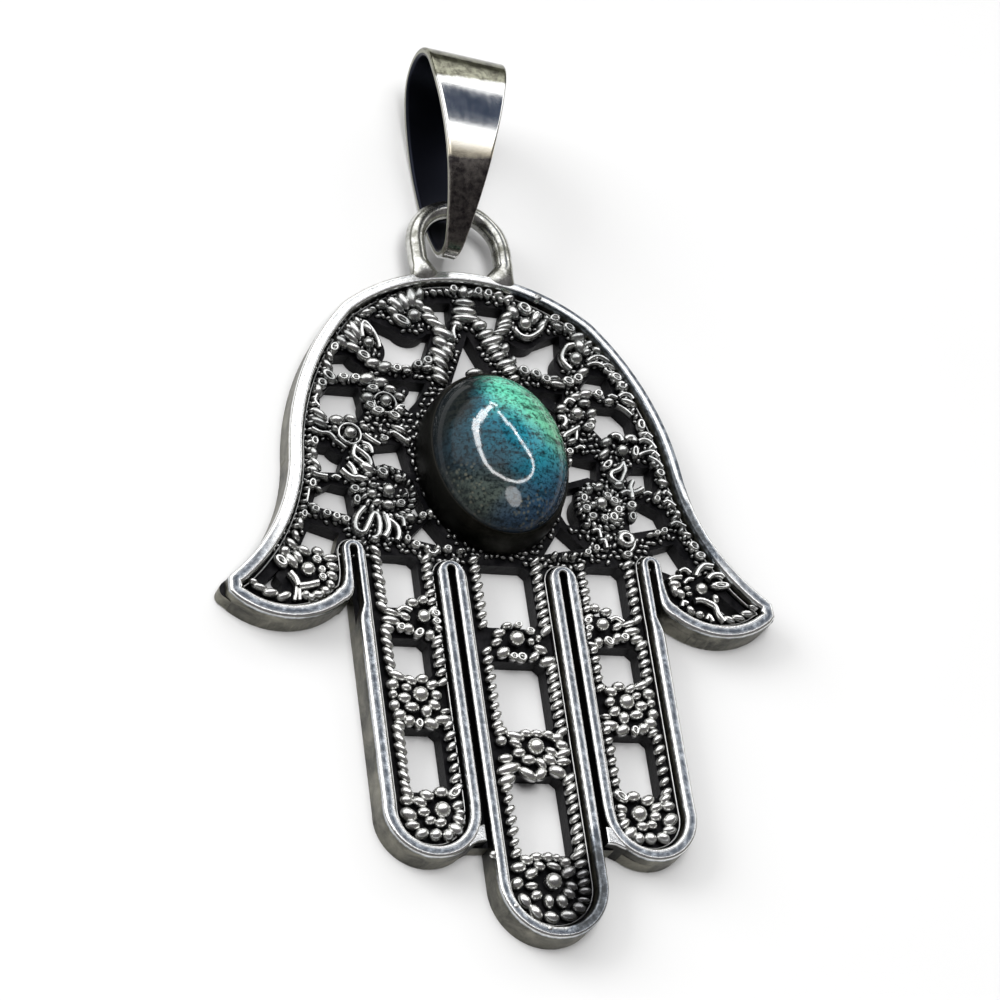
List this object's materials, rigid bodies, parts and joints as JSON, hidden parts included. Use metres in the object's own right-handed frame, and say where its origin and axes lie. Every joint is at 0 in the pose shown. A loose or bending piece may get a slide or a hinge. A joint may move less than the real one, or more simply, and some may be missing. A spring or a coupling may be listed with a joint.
{
  "type": "hamsa pendant",
  "caption": "Openwork hand pendant with a raised rim, rope borders and rosettes around an oval cabochon, hung from a round loop by a tapered folded bail.",
  "frame": {"origin": "centre of the stone on the hand's flat back", "axes": "+Z out of the face, +Y from the fingers towards the loop and bail, +X to the right seen from the front"},
  "size_m": [0.0314, 0.052, 0.0063],
  "materials": {
    "oxidised_silver": "cast silver, blackened in the recesses and polished on the raised parts",
    "blue_stone": "polished dark blue-green stone with a play of colour",
    "polished_silver": "polished silver"
  },
  "bodies": {
    "hand": {"hamsa_hand": "oxidised_silver", "cabochon": "blue_stone"},
    "bail": {"bail": "polished_silver"}
  },
  "joints": [
    {"name": "bail_swing", "type": "hinge", "parent": "hand", "child": "bail", "pos_m": [0, 0.0163, 0.00152], "axis": [0.9925, -0.1219, 0], "range_deg": [0, 70]}
  ]
}
